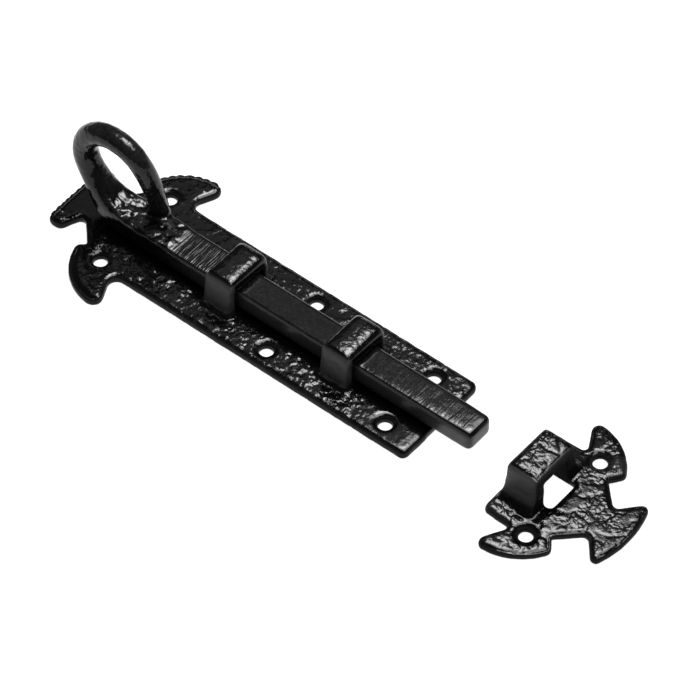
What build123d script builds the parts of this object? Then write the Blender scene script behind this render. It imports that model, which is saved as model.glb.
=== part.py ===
"""Straight door bolt, cast in black iron: a backplate with a three-lobed head and two guides,
a sliding bar that curls into a ring handle, its stop pin, and a three-lobed keep. Millimetres.

X runs along the bolt towards the keep, Z away from the door.
The origin is on the door face, midway between the middle pair of screw holes."""
import os
from math import cos, radians, sin, tan

from build123d import *

# Backplate
plate_width = 37.6
plate_thickness = 3.5
plate_front = 60.9
plate_bevel = 0.8
front_corner_round = 2.2

# Screw holes: places of the pairs, half spacings, bore and countersink
rear_pair_x = -65.4
rear_pair_y = 17.2
middle_pair_y = 12.5
front_pair_x = 48.1
front_pair_y = 12.2
screw_bore = 5.0
countersink_width = 7.2
countersink_angle = 90.0

# Head outline, one half: x from the rear screw pair, y from the centre line
side_notch_x = 5.8
side_tip = (12.3, 32.1)
side_bow = (-5.6, 26.4)
side_heel = (-10.6, 16.9)
neck_corner = (-7.9, 14.5)
neck_notch = (-16.8, 5.1)
rear_tip_inner = (-20.1, 14.1)
rear_tip_outer = (-25.6, 14.1)
rear_apex_x = -26.4
side_notch_round = 3.0
side_tip_round = 3.2
side_heel_round = 1.4
neck_corner_round = 0.5
neck_notch_round = 2.2
rear_tip_round = 2.3

# Bar, in the thrown-halfway place of rest
nose_x = 76.4
nose_width = 11.0
nose_height = 7.7
nose_round = 1.0
nose_tip_round = 1.4
nose_end_round = 1.5
nose_wear_x = 58.0
root_width = 12.6
root_rise = 0.6
root_x = -64.0
shoulder_rear_x = -48.4
shoulder_front_x = -44.4
taper_rear_x = -31.0
taper_front_x = -21.0
bar_gap = 0.3

# Ring handle: centre line of the curl from the end of the bar, and the rod that it is made of
ring_back = 8.7
ring_z = 27.5
ring_radius = 12.9
ring_lean = 1.8
heel_angle = 221.0
foot_reach = 6.0
foot_y = 5.2
foot_depth = 1.2
rod_root = 9.6
rod_end = 6.1
rod_flat = 0.15
blend_share = 0.27
curl_sections = 12

# Guides
guide_length = 11.4
rear_guide_x = -22.9
front_guide_x = 25.0
guide_top_width = 18.2
guide_draft = 0.8
guide_lean = 0.2
guide_foot_width = 25.4
guide_toe = 1.2
guide_crown = 5.3
guide_round = 2.6
slide_gap = 0.4
slide_draft = 2.0
tunnel_round = 1.5

# Stop pin under the bar, its slot through the backplate, and how far it lets the bolt go
pin_x = -9.0
pin_width = 4.0
pin_depth = 4.0
pin_back_gap = 0.8
pin_fit = 0.02
pin_side_gap = 0.5
throw_back = 15.6
throw_forward = 16.0
stop_gap = 0.4

# Keep
keep_x = 109.1
keep_thickness = 2.7
keep_pair_y = 18.8
keep_bore = 5.2
keep_countersink_width = 8.0
keep_bevel = 0.9

# Keep outline, one half: x from its screw pair, y from the centre line
keep_rear_x = -16.9
keep_foot_y = 18.6
wing_notch = (-5.0, 19.0)
wing_tip = (-11.6, 30.7)
wing_bow = (0.9, 28.2)
wing_heel = (9.8, 18.9)
collar_corner = (6.4, 14.4)
front_notch = (14.8, 6.1)
front_tip = (22.3, 15.0)
front_apex_x = 25.4
keep_foot_round = 2.0
wing_notch_round = 1.6
wing_tip_round = 2.2
wing_heel_round = 1.8
collar_round = 0.5
front_notch_round = 2.0
front_tip_round = 1.6

# Bridge of the keep
bridge_x = -9.1
bridge_length = 11.4
bridge_top_width = 19.0
bridge_draft = 0.5
bridge_lean = 0.6
bridge_foot_width = 31.0
bridge_toe = 1.0
bridge_crown = 4.4
bridge_round = 2.0
keep_side_gap = 0.5
keep_top_gap = 0.7
keep_draft = 3.0
keep_window_front_x = 0.3

# How far the straps' flares turn and sink into their plates, and how far a cutter runs past its cut
flare_turn = 82.0
toe_sink = 0.2
overcut = 1.0

# Sizes that follow from the ones above
plate_half = plate_width / 2
bar_bottom = plate_thickness + bar_gap
bar_top = bar_bottom + nose_height
root_top = bar_top + root_rise
guide_ceiling = bar_top + slide_gap
guide_top = guide_ceiling + guide_crown
keep_ceiling = bar_top + keep_top_gap
bridge_top = keep_ceiling + bridge_crown
guide_reach = guide_length / 2 + guide_lean + guide_toe


def offset(points, x):
    """Points moved along X."""
    return [(px + x, py) for px, py in points]


def rounded(face, corners):
    """The face with each listed corner rounded by its own radius."""
    for point, radius in corners:
        corner = face.vertices().sort_by_distance(Vector(*point))[0]
        face = fillet(corner, radius)
    return face


def mirrored(face):
    """A half outline joined with its mirror image across the centre line."""
    return face + mirror(face, about=Plane.XZ)


def head_plate():
    """The backplate's flat casting: a long plate that ends in three crescent lobes."""
    tip, bow, heel, corner, notch, inner, outer = offset(
        [side_tip, side_bow, side_heel, neck_corner, neck_notch, rear_tip_inner, rear_tip_outer],
        rear_pair_x,
    )
    apex = (rear_pair_x + rear_apex_x, 0)
    front = (plate_front, plate_half)
    side_notch = (rear_pair_x + side_notch_x, plate_half)
    apex_handle = (apex[0], outer[1] / 2)
    edge = Polyline((plate_front, 0), front, side_notch, tip)
    edge += ThreePointArc(tip, bow, heel)
    edge += Polyline(heel, corner, notch, inner, outer)
    edge += Bezier(outer, apex_handle, apex)
    edge += Line(apex, (plate_front, 0))
    half = rounded(
        make_face(edge),
        [
            (front, front_corner_round),
            (side_notch, side_notch_round),
            (tip, side_tip_round),
            (heel, side_heel_round),
            (corner, neck_corner_round),
            (notch, neck_notch_round),
            (inner, rear_tip_round),
            (outer, rear_tip_round),
        ],
    )
    plate = extrude(mirrored(half), plate_thickness)
    rim = plate.faces().sort_by(Axis.Z)[-1].edges()
    return chamfer(rim, plate_bevel)


def keep_plate():
    """The keep's flat casting: two feet for the bridge, two wings and a front lobe."""
    notch, tip, bow, heel, collar, front, point = offset(
        [wing_notch, wing_tip, wing_bow, wing_heel, collar_corner, front_notch, front_tip],
        keep_x,
    )
    apex = (keep_x + front_apex_x, 0)
    rear = keep_x + keep_rear_x
    foot = (rear, keep_foot_y)
    apex_handle = (apex[0], point[1] / 2)
    edge = Polyline((rear, 0), foot, notch, tip)
    edge += ThreePointArc(tip, bow, heel)
    edge += Polyline(heel, collar, front, point)
    edge += Bezier(point, apex_handle, apex)
    edge += Line(apex, (rear, 0))
    half = rounded(
        make_face(edge),
        [
            (foot, keep_foot_round),
            (notch, wing_notch_round),
            (tip, wing_tip_round),
            (heel, wing_heel_round),
            (collar, collar_round),
            (front, front_notch_round),
            (point, front_tip_round),
        ],
    )
    plate = extrude(mirrored(half), keep_thickness)
    rim = plate.faces().sort_by(Axis.Z)[-1].edges()
    return chamfer(rim, keep_bevel)


def strap_profile(half_top, half_root, half_foot, base, top):
    """One view of a cast strap: flat top, drafted walls and a hollow flare at the foot."""
    turn = radians(flare_turn)
    flare = (half_foot - half_root) / (1 - cos(turn))
    root = (half_root, base + flare)
    middle = (half_root + flare * (1 - cos(turn / 2)), base + flare * (1 - sin(turn / 2)))
    foot = (half_foot, base + flare * (1 - sin(turn)))
    crown = (half_top, top)
    edge = Polyline((0, top), crown, root)
    edge += ThreePointArc(root, middle, foot)
    edge += Polyline(foot, (half_foot, base - toe_sink), (0, base - toe_sink), (0, top))
    half = make_face(edge)
    return half + mirror(half, about=Plane.YZ)


def strap(x, length, lean, top_width, draft, foot_width, toe, base, top, edge_round):
    """A strap across the bolt: what its end view and its side view have in common, rounded on top."""
    half_width = top_width / 2
    half_length = length / 2
    bottom = base - toe_sink
    end_view = strap_profile(half_width, half_width + draft, foot_width / 2, bottom, top)
    side_view = strap_profile(
        half_length, half_length + lean, half_length + lean + toe, bottom, top
    )
    across = extrude(Plane.YZ * end_view, length + toe, both=True)
    along = extrude(Plane.XZ * side_view, foot_width, both=True)
    block = across & along
    crown = block.faces().sort_by(Axis.Z)[-1].edges()
    return Pos(x, 0, 0) * fillet(crown, edge_round)


def tunnel(rear, front, half_top, draft, top, bottom=-overcut):
    """The space under a strap, down to a height, and wider below, as the sand mould needs it."""
    half_bottom = half_top + (top - bottom) * tan(radians(draft))
    corners = [(-half_bottom, bottom), (half_bottom, bottom), (half_top, top), (-half_top, top)]
    section = Plane.YZ * make_face(Polyline(*corners, close=True))
    space = extrude(section, front - rear)
    upright = [edge for edge in space.edges() if abs((edge % 0.5).Z) > 0.5]
    return Pos(rear, 0, 0) * fillet(upright, tunnel_round)


def slot(rear, front, width, thickness):
    """A round-ended opening along a plate's centre line."""
    shape = Pos((rear + front) / 2, 0, -overcut) * SlotOverall(front - rear, width)
    return extrude(shape, thickness + 2 * overcut)


def screw_hole(x, y, bore, sink_width, top):
    """A countersunk hole down through a plate."""
    slope = tan(radians(countersink_angle / 2))
    sink = (sink_width - bore) / 2 / slope
    shank = Cylinder(bore / 2, top + 2 * overcut, align=(Align.CENTER, Align.CENTER, Align.MIN))
    mouth = sink_width / 2 + overcut * slope
    cone = Cone(bore / 2, mouth, sink + overcut, align=(Align.CENTER, Align.CENTER, Align.MIN))
    return Pos(x, y, -overcut) * shank + Pos(x, y, top - sink) * cone


def screw_pair(x, half_spacing, bore, sink_width, top):
    """Two countersunk holes, one on each side of the bolt."""
    near = screw_hole(x, -half_spacing, bore, sink_width, top)
    return near + screw_hole(x, half_spacing, bore, sink_width, top)


def backplate():
    """Plate, head and both guides in one casting, with a slot for the stop pin."""
    casting = head_plate()
    half_widths = {rear_guide_x: root_width / 2, front_guide_x: nose_width / 2}
    for x in half_widths:
        casting += strap(
            x, guide_length, guide_lean, guide_top_width, guide_draft, guide_foot_width, guide_toe,
            plate_thickness, guide_top, guide_round,
        )
    for x, half_width in half_widths.items():
        mouth = guide_reach + tunnel_round
        sides = (half_width + slide_gap, slide_draft, guide_ceiling)
        casting -= tunnel(x - mouth, x + mouth, *sides, bottom=plate_thickness)
    pin_room = pin_width / 2 + stop_gap
    slot_rear = pin_x - throw_back - pin_room
    slot_front = pin_x + throw_forward + pin_room
    casting -= slot(slot_rear, slot_front, pin_width + 2 * pin_side_gap, plate_thickness)
    for x, y in ((rear_pair_x, rear_pair_y), (0, middle_pair_y), (front_pair_x, front_pair_y)):
        casting -= screw_pair(x, y, screw_bore, countersink_width, plate_thickness)
    return casting


def bar_section(x, width, top, corner_round=nose_round):
    """A round-cornered section across the bar."""
    height = top - bar_bottom
    plane = Plane((x, 0, bar_bottom + height / 2), x_dir=(0, 1, 0), z_dir=(1, 0, 0))
    return plane * RectangleRounded(width, height, corner_round)


def bar():
    """The sliding bar: a rough high root, a filed shoulder, a slight taper and a worn nose."""
    stations = [
        (root_x, root_width, root_top),
        (shoulder_rear_x, root_width, root_top),
        (shoulder_front_x, root_width, bar_top),
        (taper_rear_x, root_width, bar_top),
        (taper_front_x, nose_width, bar_top),
        (nose_wear_x, nose_width, bar_top),
        (nose_x, nose_width, bar_top, nose_tip_round),
    ]
    solid = loft([bar_section(*station) for station in stations], ruled=True)
    tip = solid.faces().sort_by(Axis.X)[-1].edges()
    return fillet(tip, nose_end_round)


def ring_point(angle, side):
    """A point of the ring's centre line, at an angle up from its front and a distance to the side."""
    turn = radians(angle)
    x = root_x - ring_back + ring_radius * cos(turn)
    return (x, side, ring_z + ring_radius * sin(turn))


def curl_path():
    """Centre line of the curl: up from the bar's end, over, and down to the bar's far edge."""
    start = (root_x, 0, (bar_bottom + root_top) / 2)
    round_part = [ring_point(angle, 0) for angle in (heel_angle, 180, 135, 90)]
    leaning_part = [ring_point(45, ring_lean / 5), ring_point(0, ring_lean)]
    foot = (root_x + foot_reach, foot_y, root_top - foot_depth)
    landing = Vector(*foot) - Vector(*leaning_part[-1])
    return Spline(start, *round_part, *leaning_part, foot, tangents=[(-1, 0, 0), landing])


def curl_section(path, along):
    """The rod's section at a share of the path: the bar's section that shrinks to a round."""
    share = min(1, along / blend_share)
    blend = share * share * (3 - 2 * share)
    root_height = root_top - bar_bottom
    rod = rod_root + (rod_end - rod_root) * along
    width = root_width + (rod - root_width) * blend
    height = root_height + (rod - root_height) * blend
    corner = nose_round + (rod / 2 - rod_flat - nose_round) * blend
    plane = Plane(path @ along, x_dir=(0, 1, 0), z_dir=path % along)
    return plane * RectangleRounded(width, height, corner)


def bolt():
    """Bar and ring handle in one casting, bored underneath for the stop pin."""
    path = curl_path()
    steps = range(curl_sections + 1)
    curl = loft([curl_section(path, step / curl_sections) for step in steps])
    bore = Cylinder(pin_width / 2 + pin_fit, 2 * pin_depth)
    return bar() + curl - Pos(pin_x, 0, bar_bottom) * bore


def stop_pin():
    """The pin driven up into the bar, which runs in the backplate's slot."""
    length = bar_bottom + pin_depth - pin_back_gap
    pin = Cylinder(pin_width / 2, length, align=(Align.CENTER, Align.CENTER, Align.MIN))
    pin = chamfer(pin.faces().sort_by(Axis.Z)[0].edges(), pin_width / 10)
    return Pos(pin_x, 0, pin_back_gap) * pin


def keep():
    """The keep: a lobed plate with a bridge for the bolt's nose, open underneath to the rear."""
    x = keep_x + bridge_x
    casting = keep_plate() + strap(
        x, bridge_length, bridge_lean, bridge_top_width, bridge_draft, bridge_foot_width, bridge_toe,
        keep_thickness, bridge_top, bridge_round,
    )
    rear = keep_x + keep_rear_x - overcut - tunnel_round
    front = keep_x + keep_window_front_x
    casting -= tunnel(rear, front, nose_width / 2 + keep_side_gap, keep_draft, keep_ceiling)
    casting -= screw_pair(keep_x, keep_pair_y, keep_bore, keep_countersink_width, keep_thickness)
    return casting


os.makedirs("parts", exist_ok=True)
pieces = {"backplate": backplate, "bolt": bolt, "stop_pin": stop_pin, "keep": keep}
for name, make in pieces.items():
    piece = make()
    export_step(piece, f"parts/{name}.step")
    print(name, len(piece.solids()), round(piece.volume), piece.is_valid)
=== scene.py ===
# %% [markdown]
# # A straight door bolt in black-painted cast iron
#
# The bolt is four rigid pieces: a backplate with two guides, a sliding bar that curls into a
# ring, the pin that stops it, and a keep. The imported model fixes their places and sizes. This
# lesson gives each casting the skin that sand moulds, files and thick paint leave behind.

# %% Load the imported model
from math import cos, pi, radians, sin

import bmesh
import bpy
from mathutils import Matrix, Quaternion, Vector


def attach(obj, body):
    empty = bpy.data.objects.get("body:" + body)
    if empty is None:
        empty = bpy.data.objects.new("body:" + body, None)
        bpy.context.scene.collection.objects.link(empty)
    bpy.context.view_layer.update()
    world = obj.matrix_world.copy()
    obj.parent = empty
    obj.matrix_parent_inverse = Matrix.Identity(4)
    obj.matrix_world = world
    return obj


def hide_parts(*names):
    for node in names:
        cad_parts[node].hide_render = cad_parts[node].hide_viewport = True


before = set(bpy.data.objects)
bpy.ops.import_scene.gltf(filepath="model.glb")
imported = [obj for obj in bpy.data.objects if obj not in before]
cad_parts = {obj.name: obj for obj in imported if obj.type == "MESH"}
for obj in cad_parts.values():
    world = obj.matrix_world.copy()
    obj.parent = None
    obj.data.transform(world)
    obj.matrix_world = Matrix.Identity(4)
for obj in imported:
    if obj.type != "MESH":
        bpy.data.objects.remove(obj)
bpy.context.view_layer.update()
scene = bpy.context.scene
MM = 0.001

# %% [markdown]
# ## The camera
#
# A product photographer stands well back with a long lens, so that the far end of the bolt is
# hardly smaller than the near end. The direction, distance and lens below were solved from the
# screw holes' places in the photograph. Angles and a target are easier to read than a matrix.

# %% Camera
VIEW_TURN = radians(39.073)
VIEW_RISE = radians(49.479)
VIEW_ROLL = radians(0.233)
VIEW_TARGET = Vector((18.963, 6.119, 0)) * MM
VIEW_DISTANCE = 1681.7 * MM
FOCAL_LENGTH = 272.8
SENSOR_WIDTH = 36

back = Vector((sin(VIEW_TURN) * cos(VIEW_RISE), -cos(VIEW_TURN) * cos(VIEW_RISE), sin(VIEW_RISE)))
lens = bpy.data.cameras.new("long_lens")
lens.sensor_width = SENSOR_WIDTH
lens.lens = FOCAL_LENGTH
camera = bpy.data.objects.new("long_lens", lens)
camera.location = VIEW_TARGET + back * VIEW_DISTANCE
camera.rotation_mode = "QUATERNION"
upright = (-back).to_track_quat("-Z", "Y")
camera.rotation_quaternion = upright @ Quaternion((0, 0, 1), VIEW_ROLL)
scene.collection.objects.link(camera)
scene.camera = camera
print("camera at", [round(v, 3) for v in camera.location])

# %% [markdown]
# ## Node trees as arithmetic
#
# Both the casting's relief and its paint are sums and products of noise. Drawn as nodes they
# would be a tangle, so one small class wraps a socket: writing `a * 0.5 + b` adds the Math
# nodes. `node` adds a node of any other type with its settings and inputs, and `value` does the
# same and hands back one of its outputs.

# %% A value in a node tree
class Flow:
    """A value in a node tree. Arithmetic on it adds Math nodes."""

    def __init__(self, socket):
        self.socket = socket

    @staticmethod
    def feed(socket, value):
        if isinstance(value, Flow):
            socket.id_data.links.new(value.socket, socket)
        else:
            socket.default_value = value

    @staticmethod
    def node(tree, kind, settings=None, inputs=None):
        made = tree.nodes.new(kind)
        for name, value in (settings or {}).items():
            setattr(made, name, value)
        for key, value in (inputs or {}).items():
            Flow.feed(made.inputs[key], value)
        return made

    @staticmethod
    def value(tree, kind, settings=None, inputs=None, output=0):
        return Flow(Flow.node(tree, kind, settings, inputs).outputs[output])

    def math(self, operation, *others):
        inputs = dict(enumerate((self, *others)))
        return Flow.value(self.socket.id_data, "ShaderNodeMath", {"operation": operation}, inputs)

    def __add__(self, other):
        return self.math("ADD", other)

    def __mul__(self, other):
        return self.math("MULTIPLY", other)

    def __sub__(self, other):
        return self.math("SUBTRACT", other)

    def __truediv__(self, other):
        return self.math("DIVIDE", other)

    def __rsub__(self, other):
        return self * -1 + other

    def __rtruediv__(self, other):
        return self.math("POWER", -1.0) * other

    __radd__ = __add__
    __rmul__ = __mul__

    def ramp(self, low, high):
        """0 below low, 1 above high, and smooth between. Swap them to turn it round."""
        settings = {"interpolation_type": "SMOOTHSTEP"}
        inputs = {"Value": self, "From Min": low, "From Max": high}
        return Flow.value(self.socket.id_data, "ShaderNodeMapRange", settings, inputs, "Result")


# %% [markdown]
# ## Places and noise in millimetres
#
# A texture's scale is easiest to judge as the size of its bumps. These helpers take a place in
# millimetres and a bump size, and give a height about zero. A stretched place turns bumps into
# streaks, and a nudged one gives whatever is drawn there ragged edges.

# %% Noise helpers
def scaled(tree, vector, factor):
    """A vector times a number."""
    inputs = {"Vector": vector, "Scale": factor}
    return Flow.value(tree, "ShaderNodeVectorMath", {"operation": "SCALE"}, inputs)


def stretched(tree, place, factors):
    """A place with each axis scaled, so that bumps there become streaks."""
    return Flow.value(tree, "ShaderNodeVectorMath", {"operation": "MULTIPLY"}, {0: place, 1: factors})


def noise(tree, place, size, seed, detail=2.0, rough=0.5):
    """Soft bumps of a size, from about -1 to 1."""
    inputs = {"Vector": place, "Scale": 1 / size, "W": seed, "Detail": detail, "Roughness": rough}
    return Flow.value(tree, "ShaderNodeTexNoise", {"noise_dimensions": "4D"}, inputs) * 2 - 1


def nudged(tree, place, size, amount, seed):
    """A place pushed about by noise, so that what is drawn there has ragged edges."""
    inputs = {"Vector": place, "Scale": 1 / size, "W": seed, "Detail": 2.0}
    swirl = Flow.value(tree, "ShaderNodeTexNoise", {"noise_dimensions": "4D"}, inputs, output=1)
    push = {0: swirl, 1: (amount,) * 3, 2: place}
    return Flow.value(tree, "ShaderNodeVectorMath", {"operation": "MULTIPLY_ADD"}, push)


# %% [markdown]
# ## What a skin tree knows
#
# Each casting gets a Geometry Nodes tree of the same make, so its inputs have the same names: how
# deep and wide the pits and the slow waves are, how far the corners are rounded, a seed and a
# paint. A relief also needs to know where on the casting it is and which way the surface faces.

# %% Skin tree inputs
def open_skin_tree(name):
    """A new tree, and its named inputs as values."""
    tree = bpy.data.node_groups.new(name, "GeometryNodeTree")
    face = tree.interface
    face.new_socket("Casting", in_out="INPUT", socket_type="NodeSocketGeometry")
    for label in ("Pit depth", "Pit size", "Wave depth", "Wave size", "Seed"):
        face.new_socket(label, in_out="INPUT", socket_type="NodeSocketFloat")
    face.new_socket("Rounding", in_out="INPUT", socket_type="NodeSocketInt")
    face.new_socket("Paint", in_out="INPUT", socket_type="NodeSocketMaterial")
    face.new_socket("Casting", in_out="OUTPUT", socket_type="NodeSocketGeometry")
    source = Flow.node(tree, "NodeGroupInput")
    return tree, {socket.name: Flow(socket) for socket in source.outputs if socket.name}


def whereabouts(tree, position, normal):
    """The place in mm, its x, y and z, and the surface's direction as nx, ny and nz."""
    place = scaled(tree, position, 1 / MM)
    place_axes = Flow.node(tree, "ShaderNodeSeparateXYZ", None, {0: place}).outputs
    slope_axes = Flow.node(tree, "ShaderNodeSeparateXYZ", None, {0: normal}).outputs
    where = {"place": place}
    where.update({axis: Flow(place_axes[axis.upper()]) for axis in "xyz"})
    where.update({"n" + axis: Flow(slope_axes[axis.upper()]) for axis in "xyz"})
    return where


# %% [markdown]
# ## One tree for a cast skin
#
# Sand leaves pits, the pattern leaves slow waves, and the hammer leaves flats. All of them are
# heights over the plain casting, so the tree pushes the surface along its own normal. Before
# that, blurring the positions rounds the corners as rubbing and thick paint do, more where
# `soft` is high. The other masks of a relief are stored on the mesh, and the paint reads them.

# %% Skin tree
def skin_tree(name, relief):
    """A tree that rounds a casting and pushes its surface by relief(tree, where, inputs)."""
    tree, given = open_skin_tree(name)
    position = Flow.value(tree, "GeometryNodeInputPosition")
    normal = Flow.value(tree, "GeometryNodeInputNormal")
    skin = relief(tree, whereabouts(tree, position, normal), given)
    offset = scaled(tree, normal, skin["relief"] * MM)
    if "sideways" in skin:
        amounts = dict(enumerate(amount * MM for amount in skin.pop("sideways")))
        aside = Flow.value(tree, "ShaderNodeCombineXYZ", None, amounts)
        offset = Flow.value(tree, "ShaderNodeVectorMath", {"operation": "ADD"}, {0: offset, 1: aside})
    rubbed = {0: position, "Iterations": given["Rounding"], "Weight": skin.pop("soft")}
    rounded = Flow.value(tree, "GeometryNodeBlurAttribute", {"data_type": "FLOAT_VECTOR"}, rubbed)
    moved = {"Geometry": given["Casting"], "Position": rounded}
    shape = Flow.value(tree, "GeometryNodeSetPosition", None, moved)
    for label, mask in skin.items():
        kept = {"Geometry": shape, "Name": label, "Value": mask}
        shape = Flow.value(tree, "GeometryNodeStoreNamedAttribute", None, kept)
    shape = Flow.value(tree, "GeometryNodeSetPosition", None, {"Geometry": shape, "Offset": offset})
    shape = Flow.value(tree, "GeometryNodeRealizeInstances", None, {0: shape})
    painted = {"Geometry": shape, "Material": given["Paint"]}
    shape = Flow.value(tree, "GeometryNodeSetMaterial", None, painted)
    Flow.node(tree, "NodeGroupOutput", None, {0: shape})
    return tree


# %% [markdown]
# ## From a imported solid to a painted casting
#
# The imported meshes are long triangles, which can't bend. A copy is merged, then remeshed into
# even cells much smaller than a pit, which also softens every edge a little, as paint does.
# After the skin tree has run, flat areas give their spare triangles back.

# %% Casting maker
MERGE_REACH = 0.001 * MM
SOFTEN_SHARE = 0.5
SOFTEN_STEPS = 5


def triangles(mesh):
    return sum(len(face.vertices) - 2 for face in mesh.polygons)


def evaluated(piece):
    graph = bpy.context.evaluated_depsgraph_get()
    source = piece.evaluated_get(graph)
    return bpy.data.meshes.new_from_object(source, preserve_all_data_layers=True, depsgraph=graph)


def merged_copy(node, name):
    """A node's mesh with its loose corners joined and no material."""
    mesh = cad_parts[node].data.copy()
    mesh.name = name
    mesh.materials.clear()
    shape = bmesh.new()
    shape.from_mesh(mesh)
    bmesh.ops.remove_doubles(shape, verts=shape.verts, dist=MERGE_REACH)
    shape.to_mesh(mesh)
    shape.free()
    return mesh


def cast_piece(name, node, tree, values, cell, budget):
    """A finished copy of a node, remeshed, given its skin, and thinned to a triangle budget."""
    mesh = merged_copy(node, name)
    piece = bpy.data.objects.new(name, mesh)
    scene.collection.objects.link(piece)
    remesh = piece.modifiers.new("even_cells", "REMESH")
    remesh.mode = "VOXEL"
    remesh.voxel_size = cell * MM
    remesh.use_smooth_shade = True
    soften = piece.modifiers.new("soften", "SMOOTH")
    soften.factor = SOFTEN_SHARE
    soften.iterations = SOFTEN_STEPS
    skin = piece.modifiers.new("skin", "NODES")
    skin.node_group = tree
    for socket in tree.interface.items_tree:
        if socket.in_out == "INPUT" and socket.name in values:
            skin[socket.identifier] = values[socket.name]
    full = evaluated(piece)
    thin = piece.modifiers.new("thin", "DECIMATE")
    thin.ratio = min(1, budget / triangles(full))
    final = evaluated(piece)
    piece.modifiers.clear()
    piece.data = final
    print(name, "full", triangles(full), "kept", triangles(final))
    bpy.data.meshes.remove(full)
    bpy.data.meshes.remove(mesh)
    return piece


# %% [markdown]
# ## Black paint
#
# The finish is thick black paint: nearly no colour of its own, so what shows is how glossy it
# is and how its surface rolls. Its colour follows the relief as painted shade: pits are painted a
# deeper black and high spots a little grey, mixed with random specks and clouds of tone. A fine
# orange peel breaks up the reflections. Upright walls are duller than tops, and filed faces carry
# fine lines across the bar.
#
# Passages and the feet of walls would mirror the white floor more than the photograph shows. There
# a second shader, a matt near-black, takes over and paints in the shade that falls there. A mask
# that a casting doesn't store reads as zero.

# %% Paint material
PIT_SHADE_BLACK = (0.001, 0.001, 0.001, 1)
SPECK_AND_HIGH_SPOT_BLACK = (0.009, 0.009, 0.0092, 1)
DULL_BLACK = (0.035, 0.035, 0.0355, 1)
SHADE_BLACK = (0.004, 0.004, 0.004, 1)
SHADE_ROUGHNESS = 0.8
SHADE_SHINE = 0.04
CLOUD_SIZE = 6.0
SPECK_SIZE = 0.9
PEEL_SIZE = 0.55
FILE_LINE_SIZE = 0.6
FILE_LINE_STRETCH = (1.0, 0.06, 1.0)
CLOUD_ROUGHNESS, SPECK_ROUGHNESS = 0.04, 0.05
DULL_ROUGHNESS, DULL_CLOUD, DULL_SHARE = 0.32, 0.12, 0.9
PEEL_LEAST, PEEL_ON_ROUGH = 0.4, 0.7


def stored(tree, label):
    """A mask that the skin tree left on the mesh."""
    return Flow.value(tree, "ShaderNodeAttribute", {"attribute_name": label}, output="Fac")


def blended(tree, share, first, second):
    """A colour between two others."""
    inputs = {0: share, 6: first, 7: second}
    return Flow.value(tree, "ShaderNodeMix", {"data_type": "RGBA"}, inputs, output=2)


# A matt near-black shader that paints in shade where it takes over.
def painted_shade_shader(tree):
    shade_surface = Flow.node(tree, "ShaderNodeBsdfPrincipled")
    shade_surface.inputs["Base Color"].default_value = SHADE_BLACK
    shade_surface.inputs["Roughness"].default_value = SHADE_ROUGHNESS
    shade_surface.inputs["Specular IOR Level"].default_value = SHADE_SHINE
    return Flow(shade_surface.outputs[0])


def black_paint(name, seed, gloss, peel, shine=0.24, file_marks=0.0):
    """Thick black paint on iron. gloss is its roughness, peel and file_marks are heights in mm."""
    paint = bpy.data.materials.new(name)
    paint.use_nodes = True
    tree = paint.node_tree
    surface = tree.nodes["Principled BSDF"]
    coords = Flow.value(tree, "ShaderNodeTexCoord", output="Object")
    place = scaled(tree, coords, 1 / MM)
    dull = stored(tree, "dull")
    cloud = noise(tree, place, CLOUD_SIZE, seed, detail=4.0)
    speck = noise(tree, place, SPECK_SIZE, seed + 1, detail=3.0, rough=0.6)
    # painted shade: colour follows the relief, pits painted darker and high spots greyer, mixed with
    # random specks and clouds of tone
    pit_shade_and_speck = (stored(tree, "relief") * 3 + speck * 0.8 + cloud * 0.3).ramp(-0.1, 0.8)
    glossy = blended(tree, pit_shade_and_speck, PIT_SHADE_BLACK, SPECK_AND_HIGH_SPOT_BLACK)
    Flow.feed(surface.inputs["Base Color"], blended(tree, dull * DULL_SHARE, glossy, DULL_BLACK))
    uneven = cloud * CLOUD_ROUGHNESS + speck * SPECK_ROUGHNESS
    duller = dull * (cloud * DULL_CLOUD + DULL_ROUGHNESS)
    Flow.feed(surface.inputs["Roughness"], gloss + uneven + duller)
    fine = noise(tree, place, PEEL_SIZE, seed + 2, detail=2.0) * peel
    height = fine * (stored(tree, "rough") * PEEL_ON_ROUGH + PEEL_LEAST)
    if file_marks:
        lines = stretched(tree, place, FILE_LINE_STRETCH)
        marks = noise(tree, lines, FILE_LINE_SIZE, seed + 3, detail=1.5, rough=0.6)
        height = height + marks * stored(tree, "filed") * file_marks
    bump = Flow.value(tree, "ShaderNodeBump", None, {"Height": height * MM, "Distance": 1.0})
    Flow.feed(surface.inputs["Normal"], bump)
    surface.inputs["Specular IOR Level"].default_value = shine
    # painted shade: where this mask is high, the matt near-black shader replaces the paint
    shaders = {0: stored(tree, "shade_mask"), 1: Flow(surface.outputs[0]), 2: painted_shade_shader(tree)}
    both = Flow.value(tree, "ShaderNodeMixShader", None, shaders)
    Flow.feed(tree.nodes["Material Output"].inputs["Surface"], both)
    print("paint", name)
    return paint


plate_paint = black_paint("plate_black_paint", 3.0, gloss=0.1, peel=0.024)
bolt_paint = black_paint("bolt_black_paint", 13.0, gloss=0.1, peel=0.016, file_marks=0.1)
keep_paint = black_paint("keep_black_paint", 23.0, gloss=0.09, peel=0.016, shine=0.19)

# %% [markdown]
# ## Scalloped lobes
#
# The far and rear lobes have scalloped outer edges, as if nibbled by a round chisel. Each edge is
# an arc, so the scallops are a wave along the angle round its centre. They push the edge in
# towards that centre, and a little noise in the angle keeps them from looking machined.

# %% Scallops
SCALLOP_DEPTH = 0.5
SCALLOP_FADE = (2.2, 0.4)
SIDE_LOBE_ARC = ((-53.1, 32.1), (-71.0, 26.4), (-76.0, 16.9))
REAR_LOBE_ARC = ((-91.0, 14.1), (-91.8, 0.0), (-91.0, -14.1))


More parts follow.
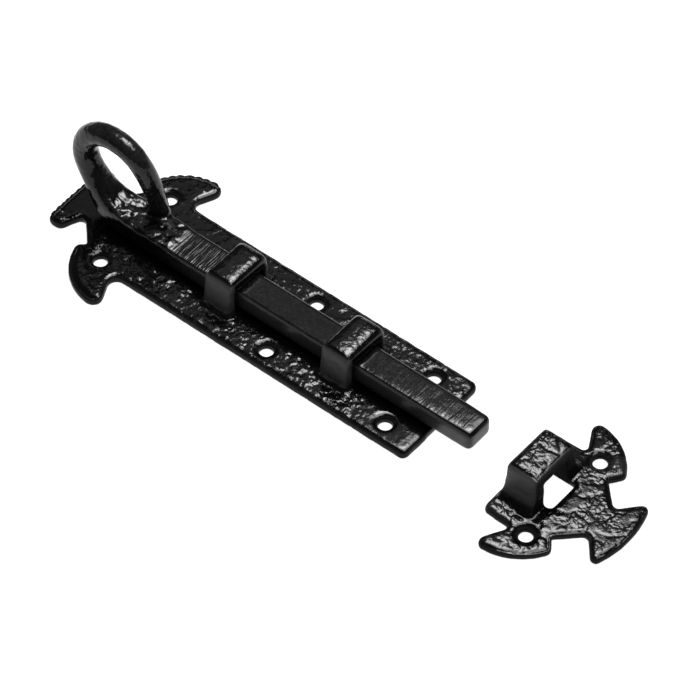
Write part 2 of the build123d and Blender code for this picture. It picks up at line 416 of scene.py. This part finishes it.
def arc_circle(points):
    """Centre and radius of the circle through three points."""
    (ax, ay), (bx, by), (cx, cy) = points
    twice = 2 * (ax * (by - cy) + bx * (cy - ay) + cx * (ay - by))
    squares = [x * x + y * y for x, y in points]
    x = (squares[0] * (by - cy) + squares[1] * (cy - ay) + squares[2] * (ay - by)) / twice
    y = (squares[0] * (cx - bx) + squares[1] * (ax - cx) + squares[2] * (bx - ax)) / twice
    return x, y, ((ax - x) ** 2 + (ay - y) ** 2) ** 0.5


def scalloped(x, y, points, pitch, wobble):
    """Distance in from an arc, and the push along x and y that scallops it."""
    cx, cy, radius = arc_circle(points)
    dx, dy = x - cx, y - cy
    far = (dx * dx + dy * dy).math("SQRT")
    inside = radius - far
    step = dy.math("ARCTAN2", dx) * (radius * pi / pitch) + wobble
    bite = (1 - step.math("SINE").math("ABSOLUTE")) * inside.ramp(*SCALLOP_FADE) * -SCALLOP_DEPTH
    return inside, bite * dx / far, bite * dy / far


# %% [markdown]
# ## The backplate
#
# The plate's near side kept the sand's roughness, the far side is smoother, and the front corner
# and the near lobe are calm. The guides have dimpled tops and plain walls. Under the bar the plate
# stays low, so that the bar slides clear of it. Inside each guide and at the feet of the walls,
# shade is painted in.
#
# Every mask is a ramp between two places in millimetres, or between two slopes, so a relief reads
# as a list of regions with a depth for each.

# %% Backplate skin
BAR_PATH = 8.0
PLATE_HALF = 18.8
UNDER_BAR_DEPTH = 0.1
DIMPLE_SIZE, DIMPLE_DEPTH = 1.7, 0.16
WALL_NOISE_SIZE, PLATE_WALL_DEPTH = 3.5, 0.18
PLATE_PAINT_BUILD = 0.15
NICK_SIZE, NICK_DEPTH = 2.6, 0.55
LOBE_ROLL = 0.7
SIDE_SCALLOP_PITCH, REAR_SCALLOP_PITCH, REAR_SCALLOP_SHARE = 3.1, 2.4, 0.65
WALL_FOOT_SHADE = 0.6
FAR_SIDE_SHARE, NEAR_SIDE_EXTRA = 0.65, 0.4
FRONT_CORNER_CALM, NEAR_LOBE_CALM = 0.8, 0.4


def plate_edges(tree, at, wave, seed):
    """The sideways push of scallops and nicks, and where the lobes' edges roll over."""
    x, y, across = at["x"], at["y"], at["y"].math("ABSOLUTE")
    on_side = across.ramp(16.6, 18.6) * x.ramp(-49.5, -52.0)
    on_rear = x.ramp(-83.5, -85.5)
    far_lobe = on_side * y.ramp(0.0, 1.0)
    rear_cut = on_rear * REAR_SCALLOP_SHARE
    side_in, side_x, side_y = scalloped(x, across, SIDE_LOBE_ARC, SIDE_SCALLOP_PITCH, wave * 1.2)
    rear_in, rear_x, rear_y = scalloped(x, y, REAR_LOBE_ARC, REAR_SCALLOP_PITCH, wave * 2.0)
    rolled = side_in.ramp(3.2, 0.0) * on_side + rear_in.ramp(2.6, 0.0) * on_rear
    long_edge = (PLATE_HALF - across).ramp(1.4, 0.3) * x.ramp(-45.0, -40.0)
    nick = noise(tree, at["place"], NICK_SIZE, seed + 11, detail=3.0).ramp(0.1, 0.7)
    nick_y = y.math("SIGN") * long_edge * nick * -NICK_DEPTH
    push_x = side_x * far_lobe + rear_x * rear_cut
    push_y = side_y * far_lobe + rear_y * rear_cut + nick_y
    return (push_x, push_y), rolled


def plate_relief(tree, at, given):
    x, y, z, seed = at["x"], at["y"], at["z"], given["Seed"]
    across = y.math("ABSOLUTE")
    top = at["nz"].ramp(0.35, 0.9)
    wall = 1 - at["nz"].math("ABSOLUTE").ramp(0.45, 0.9)
    outer = wall * across.ramp(6.5, 8.5)
    high = z.ramp(6.5, 9.5)
    beside_bar = across.ramp(BAR_PATH - 1.5, BAR_PATH + 1.5)
    near = y.ramp(5.0, -7.0) * NEAR_SIDE_EXTRA + FAR_SIDE_SHARE
    front_corner = x.ramp(34.0, 46.0) * y.ramp(2.0, -4.0)
    near_lobe = x.ramp(-48.0, -54.0) * y.ramp(-15.0, -19.0)
    calm = 1 - front_corner * FRONT_CORNER_CALM - near_lobe * NEAR_LOBE_CALM
    passage = across.ramp(7.9, 7.4) * z.ramp(4.0, 4.8) * z.ramp(13.4, 12.9)

    ragged = nudged(tree, at["place"], 2.5, 0.9, 4.0)
    grain = noise(tree, ragged, given["Pit size"], seed, detail=4.0, rough=0.6)
    pits = grain * near + grain.ramp(0.0, 0.5) * near * 0.3
    wave = noise(tree, at["place"], given["Wave size"], seed + 5, detail=1.0)
    flat = (given["Pit depth"] * pits + given["Wave depth"] * wave) * calm
    low_top = top * (1 - high) * (flat * beside_bar - (1 - beside_bar) * UNDER_BAR_DEPTH)
    high_top = top * high * noise(tree, ragged, DIMPLE_SIZE, seed + 7, detail=2.5) * DIMPLE_DEPTH
    wall_noise = noise(tree, at["place"], WALL_NOISE_SIZE, seed + 9, detail=3.0)
    walls = outer * (wall_noise * PLATE_WALL_DEPTH + PLATE_PAINT_BUILD)
    sideways, rolled = plate_edges(tree, at, wave, seed)
    return {
        "relief": low_top + high_top + walls - rolled * top * LOBE_ROLL,
        "rough": top * ((near * (1 - high) + high) * calm - (1 - calm) * 0.3),
        "dull": outer * z.ramp(4.5, 6.5),
        # painted shade: inside the guides and at the feet of the walls
        "shade_mask": passage + outer * z.ramp(8.5, 4.0) * WALL_FOOT_SHADE,
        "soft": z.ramp(4.0, 6.5) * (1 - passage) * 0.8 + 0.1,
        "sideways": sideways,
    }


# %% [markdown]
# ## Cast the backplate
#
# It is the largest casting, so its cells are the widest of the three. The guides' upright corners
# are sharp in the solid, so its rounding takes the most steps.

# %% Cast the backplate
backplate = cast_piece(
    "cast_backplate", "backplate", skin_tree("backplate_skin", plate_relief),
    {"Pit depth": 0.34, "Pit size": 2.2, "Wave depth": 0.12, "Wave size": 8.0, "Seed": 1.0,
     "Rounding": 44, "Paint": plate_paint},
    cell=0.32, budget=190000,
)

# %% [markdown]
# ## The bolt
#
# Behind the filed shoulder the bar is as rough as the sand left it. In front, the file took the
# skin off, so only slow waves are left, with chips on the shoulder and strokes along the nose's
# near edge. The ring was rubbed smooth: it has shallow dents and a slightly duller gloss. The file's
# own lines are too fine for the mesh, so only a mask for them is stored, and the paint draws them.

# %% Bolt skin
SHOULDER_X = -47.5
DENT_SIZE, BAR_DENT, RING_DENT = 2.0, 0.1, 0.06
CHIP_SIZE, CHIP_DEPTH = 2.0, 0.16
STROKE_SIZE, STROKE_DEPTH, NEAR_EDGE_DROP = 0.9, 0.07, 0.1
STROKE_STRETCH = (1.0, 0.2, 0.2)
MOTTLE_SIZE, MOTTLE_DEPTH = 2.0, 0.03
BAR_WALL_SIZE, BAR_WALL_DEPTH = 3.2, 0.12
BOLT_PAINT_BUILD = 0.06


def bolt_relief(tree, at, given):
    x, y, seed = at["x"], at["y"], given["Seed"]
    top = at["nz"].ramp(0.4, 0.85)
    wall = at["ny"].math("ABSOLUTE").ramp(0.5, 0.85)
    rear = x.ramp(SHOULDER_X + 0.8, SHOULDER_X - 0.8)
    dressed = 1 - rear
    bar_only = at["z"].ramp(17.0, 13.5)
    ring = 1 - bar_only
    rough_top = top * rear * bar_only
    on_shoulder = x.ramp(-50.5, -48.5) * x.ramp(-44.5, -46.0) * y.ramp(1.0, -1.0)
    near_edge = y.ramp(-2.2, -5.2) * x.ramp(30.0, 34.0) * top
    filed = top * x.ramp(-46.5, -45.0) * x.ramp(-27.0, -31.0)

    ragged = nudged(tree, at["place"], 2.0, 0.8, 6.0)
    grain = noise(tree, ragged, given["Pit size"], seed, detail=1.5, rough=0.5)
    wave = noise(tree, at["place"], given["Wave size"], seed + 5, detail=1.0)
    slow = wave * given["Wave depth"] * (rear * 0.5 + 0.5)
    dents = noise(tree, at["place"], DENT_SIZE, seed + 8, detail=3.0)
    hammered = dents * (rear - rough_top) * (ring * RING_DENT + BAR_DENT)
    chips = top * on_shoulder * noise(tree, ragged, CHIP_SIZE, seed + 12, detail=2.0) * CHIP_DEPTH
    along = stretched(tree, at["place"], STROKE_STRETCH)
    strokes = noise(tree, along, STROKE_SIZE, seed + 14, detail=1.5)
    worn_edge = near_edge * (strokes * STROKE_DEPTH - NEAR_EDGE_DROP)
    mottle = noise(tree, at["place"], MOTTLE_SIZE, seed + 16, detail=3.0)
    mottled = dressed * top * mottle * MOTTLE_DEPTH
    wall_noise = noise(tree, at["place"], BAR_WALL_SIZE, seed + 18, detail=3.0)
    sides = dressed * wall * wall_noise * BAR_WALL_DEPTH
    pitted = grain * rough_top * given["Pit depth"]
    return {
        "relief": pitted + slow + hammered + chips + worn_edge + mottled + sides + BOLT_PAINT_BUILD,
        "rough": rough_top + ring * 0.8,
        "dull": x.ramp(-54.0, -24.0) * wall * 0.7 + ring * 0.1,
        "filed": filed + dressed * top * 0.12,
        "soft": x.ramp(68.0, 73.0) * 0.5 + 0.3,
    }


# %% [markdown]
# ## Cast the bolt
#
# Its pits are the deepest and widest of the set, as the photograph shows behind the shoulder.

# %% Cast the bolt
bolt = cast_piece(
    "cast_bolt", "bolt", skin_tree("bolt_skin", bolt_relief),
    {"Pit depth": 0.7, "Pit size": 3.3, "Wave depth": 0.09, "Wave size": 7.0, "Seed": 2.0,
     "Rounding": 20, "Paint": bolt_paint},
    cell=0.3, budget=150000,
)

# %% [markdown]
# ## The keep
#
# The keep is hammered all over: bright flats with thin dark creases between them. Noise crosses
# zero along winding lines, and those lines make the creases, a coarse set and a fine one. Another
# coarse noise tilts each flat its own way, and the fine set fades out in patches. The bridge's top
# and the wings lean a little, so that each catches the light in its own tone.

# %% Keep skin
CREASE_WIDTH, CREASE_DEPTH = 0.22, 0.1
FINE_SIZE, FINE_WIDTH, FINE_DEPTH = 1.9, 0.2, 0.07
PATCH_SIZE = 7.0
BRIDGE_LEAN, NEAR_WING_LEAN, FAR_WING_LEAN = 0.03, 0.04, 0.03
BRIDGE_X, WINGS_X = 100, 106
KEEP_WALL_DEPTH, KEEP_PAINT_BUILD = 0.16, 0.3


def keep_flats(tree, at, given):
    """Height of the hammered flats and creases."""
    seed = given["Seed"]
    ragged = nudged(tree, at["place"], 3.0, 1.0, 8.0)
    line = noise(tree, ragged, given["Wave size"], seed + 6, detail=1.0).math("ABSOLUTE")
    crease = line.ramp(CREASE_WIDTH, 0.0)
    fine_line = noise(tree, ragged, FINE_SIZE, seed + 12, detail=1.5).math("ABSOLUTE")
    fine = fine_line.ramp(FINE_WIDTH, 0.0)
    tilt = noise(tree, at["place"], given["Wave size"], seed, detail=1.0)
    grain = noise(tree, ragged, given["Pit size"], seed + 3, detail=2.0)
    patch = noise(tree, at["place"], PATCH_SIZE, seed + 15, detail=0.0).ramp(-0.25, 0.35) * 0.8 + 0.2
    small = (grain * given["Pit depth"] - fine * FINE_DEPTH) * patch
    return small + tilt * given["Wave depth"] - crease * CREASE_DEPTH


def keep_relief(tree, at, given):
    x, y, z, seed = at["x"], at["y"], at["z"], given["Seed"]
    top = at["nz"].ramp(0.45, 0.9)
    wall = 1 - at["nz"].math("ABSOLUTE").ramp(0.45, 0.9)
    near_wing, far_wing = y.ramp(-12.0, -17.0), y.ramp(12.0, 17.0)
    under = y.math("ABSOLUTE").ramp(6.9, 6.4) * z.ramp(13.4, 12.9) * x.ramp(106.8, 106.0)
    front = at["nx"].ramp(0.4, 0.8) * z.ramp(3.0, 4.0) * x.ramp(109.0, 107.5)
    passage = under * at["nz"].ramp(0.7, 0.4) * (1 - front) + front * 0.8

    bridge_lean = z.ramp(13.0, 14.5) * (x - BRIDGE_X) * BRIDGE_LEAN
    wings_lean = (far_wing * FAR_WING_LEAN - near_wing * NEAR_WING_LEAN) * (x - WINGS_X)
    flats = keep_flats(tree, at, given) - bridge_lean + wings_lean
    wall_noise = noise(tree, at["place"], WALL_NOISE_SIZE, seed + 9, detail=3.0)
    return {
        "relief": top * flats + wall * (wall_noise * KEEP_WALL_DEPTH + KEEP_PAINT_BUILD),
        "rough": top,
        "dull": wall * z.ramp(4.0, 6.0),
        # painted shade: under the bridge, on its front faces and at the feet of the walls
        "shade_mask": passage + wall * z.ramp(8.5, 4.0) * WALL_FOOT_SHADE,
        "soft": (1 - passage) * 0.6 + 0.1,
    }


# %% [markdown]
# ## Cast the keep
#
# The keep is the smallest casting and its creases are thin, so it gets the finest cells.

# %% Cast the keep
keep = cast_piece(
    "cast_keep", "keep", skin_tree("keep_skin", keep_relief),
    {"Pit depth": 0.06, "Pit size": 1.5, "Wave depth": 0.08, "Wave size": 5.2, "Seed": 3.0,
     "Rounding": 20, "Paint": keep_paint},
    cell=0.25, budget=150000,
)

# %% [markdown]
# ## The stop pin
#
# The pin is plain drawn steel, seen only from below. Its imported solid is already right, so it
# keeps its mesh and only gets a finish: fine lines along its length, as drawing leaves them.

# %% Pin steel
PIN_LINE_STRETCH = (1000.0, 1000.0, 60.0)
PIN_LINE_SIZE = 0.6
PIN_DARK = (0.16, 0.16, 0.165, 1)
PIN_LIGHT = (0.3, 0.3, 0.31, 1)


def pin_steel():
    steel = bpy.data.materials.new("pin_drawn_steel")
    steel.use_nodes = True
    tree = steel.node_tree
    surface = tree.nodes["Principled BSDF"]
    coords = Flow.value(tree, "ShaderNodeTexCoord", output="Object")
    lines = stretched(tree, coords, PIN_LINE_STRETCH)
    streak = noise(tree, lines, PIN_LINE_SIZE, 31.0, detail=3.0)
    tone = blended(tree, streak.ramp(-0.6, 0.6), PIN_DARK, PIN_LIGHT)
    Flow.feed(surface.inputs["Base Color"], tone)
    Flow.feed(surface.inputs["Roughness"], streak * 0.08 + 0.38)
    surface.inputs["Metallic"].default_value = 1.0
    return steel


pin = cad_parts["stop_pin"]
pin.data.materials.clear()
pin.data.materials.append(pin_steel())
print("pin steel on", pin.name)

# %% [markdown]
# ## Which piece moves with which body
#
# The backplate and keep stay on the door and its frame, and the bolt slides. Its stop pin would slide
# with it, but is left unattached.

# %% Ride and replace
for piece, body, node, slot in (
    (backplate, "fixed", "backplate", "rough_black"),
    (bolt, "sliding", "bolt", "smooth_black"),
    (keep, "fixed", "keep", "keep_black"),
):
    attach(piece, body)
    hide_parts(node)
    print(piece.name, "rides on", body)

# %% [markdown]
# ## Floor
#
# Black gloss shows the room it stands in. A white floor that glows a little lights the side walls
# from below and hides most of the shadow, as in a product picture. The glow fades out beyond the
# picture, so that the castings don't mirror a bright horizon.

# %% Floor
FLOOR_SIZE = 6.0
FLOOR_DROP = 0.0002
PAPER_WHITE = (0.15, 0.15, 0.15, 1)
PAPER_ROUGHNESS = 0.9
GLOW_FADE = (0.75, 0.3)
GLOW_FAR = (0.08, 0.08, 0.08, 1)
GLOW_NEAR = (1, 1, 1, 1)

bpy.ops.mesh.primitive_plane_add(size=FLOOR_SIZE, location=(0, 0, -FLOOR_DROP))
floor = bpy.context.object
floor.name = "white_floor"
white = bpy.data.materials.new("white_paper")
white.use_nodes = True
paper = white.node_tree.nodes["Principled BSDF"]
paper.inputs["Base Color"].default_value = PAPER_WHITE
paper.inputs["Roughness"].default_value = PAPER_ROUGHNESS
paper.inputs["Specular IOR Level"].default_value = 0.0
paper_place = Flow.value(white.node_tree, "ShaderNodeTexCoord", output="Object")
settings = {"operation": "LENGTH"}
spread = Flow.value(white.node_tree, "ShaderNodeVectorMath", settings, {0: paper_place}, "Value")
glow = blended(white.node_tree, spread.ramp(*GLOW_FADE), GLOW_FAR, GLOW_NEAR)
Flow.feed(paper.inputs["Emission Color"], glow)
paper.inputs["Emission Strength"].default_value = 1.0
floor.data.materials.append(white)
print("floor", floor.name)

# %% [markdown]
# ## Light
#
# A flat, glossy top mirrors one patch of the space above and behind it. A dim card hangs there,
# so flats are a dark grey. Bumps that lean towards the camera mirror a wide softbox and turn
# mid-grey, and the few that lean further find a small key light and sparkle. Bumps that lean away
# see only the dim room and go black. A strip far behind draws a thin line on edges that face it.

# %% Lights
ROOM_GREY = (0.1, 0.1, 0.101, 1)


def softbox(name, place, target, width, height, power):
    """A rectangular area light that faces a target, in metres and watts."""
    light = bpy.data.lights.new(name, "AREA")
    light.shape = "RECTANGLE"
    light.size = width
    light.size_y = height
    light.energy = power
    box = bpy.data.objects.new(name, light)
    box.location = place
    box.rotation_euler = (Vector(target) - Vector(place)).to_track_quat("-Z", "Y").to_euler()
    scene.collection.objects.link(box)


softbox("wide_softbox", (0.036, 0.19, 0.6), (0.036, 0.19, 0.0), 0.496, 0.39, 6.5)
softbox("key_softbox", (-0.065, 0.225, 0.59), (-0.065, 0.225, 0.0), 0.2, 0.17, 2.3)
softbox("dim_card", (-0.11, 0.335, 0.65), (-0.11, 0.335, 0.0), 0.82, 0.57, 0.8)
softbox("back_strip", (-0.6, 1.3, 0.4), (0.0, 0.0, 0.05), 0.45, 0.12, 0.5)
room = bpy.data.worlds.new("dim_room")
room.use_nodes = True
room.node_tree.nodes["Background"].inputs["Color"].default_value = ROOM_GREY
scene.world = room
scene.view_settings.view_transform = "Standard"
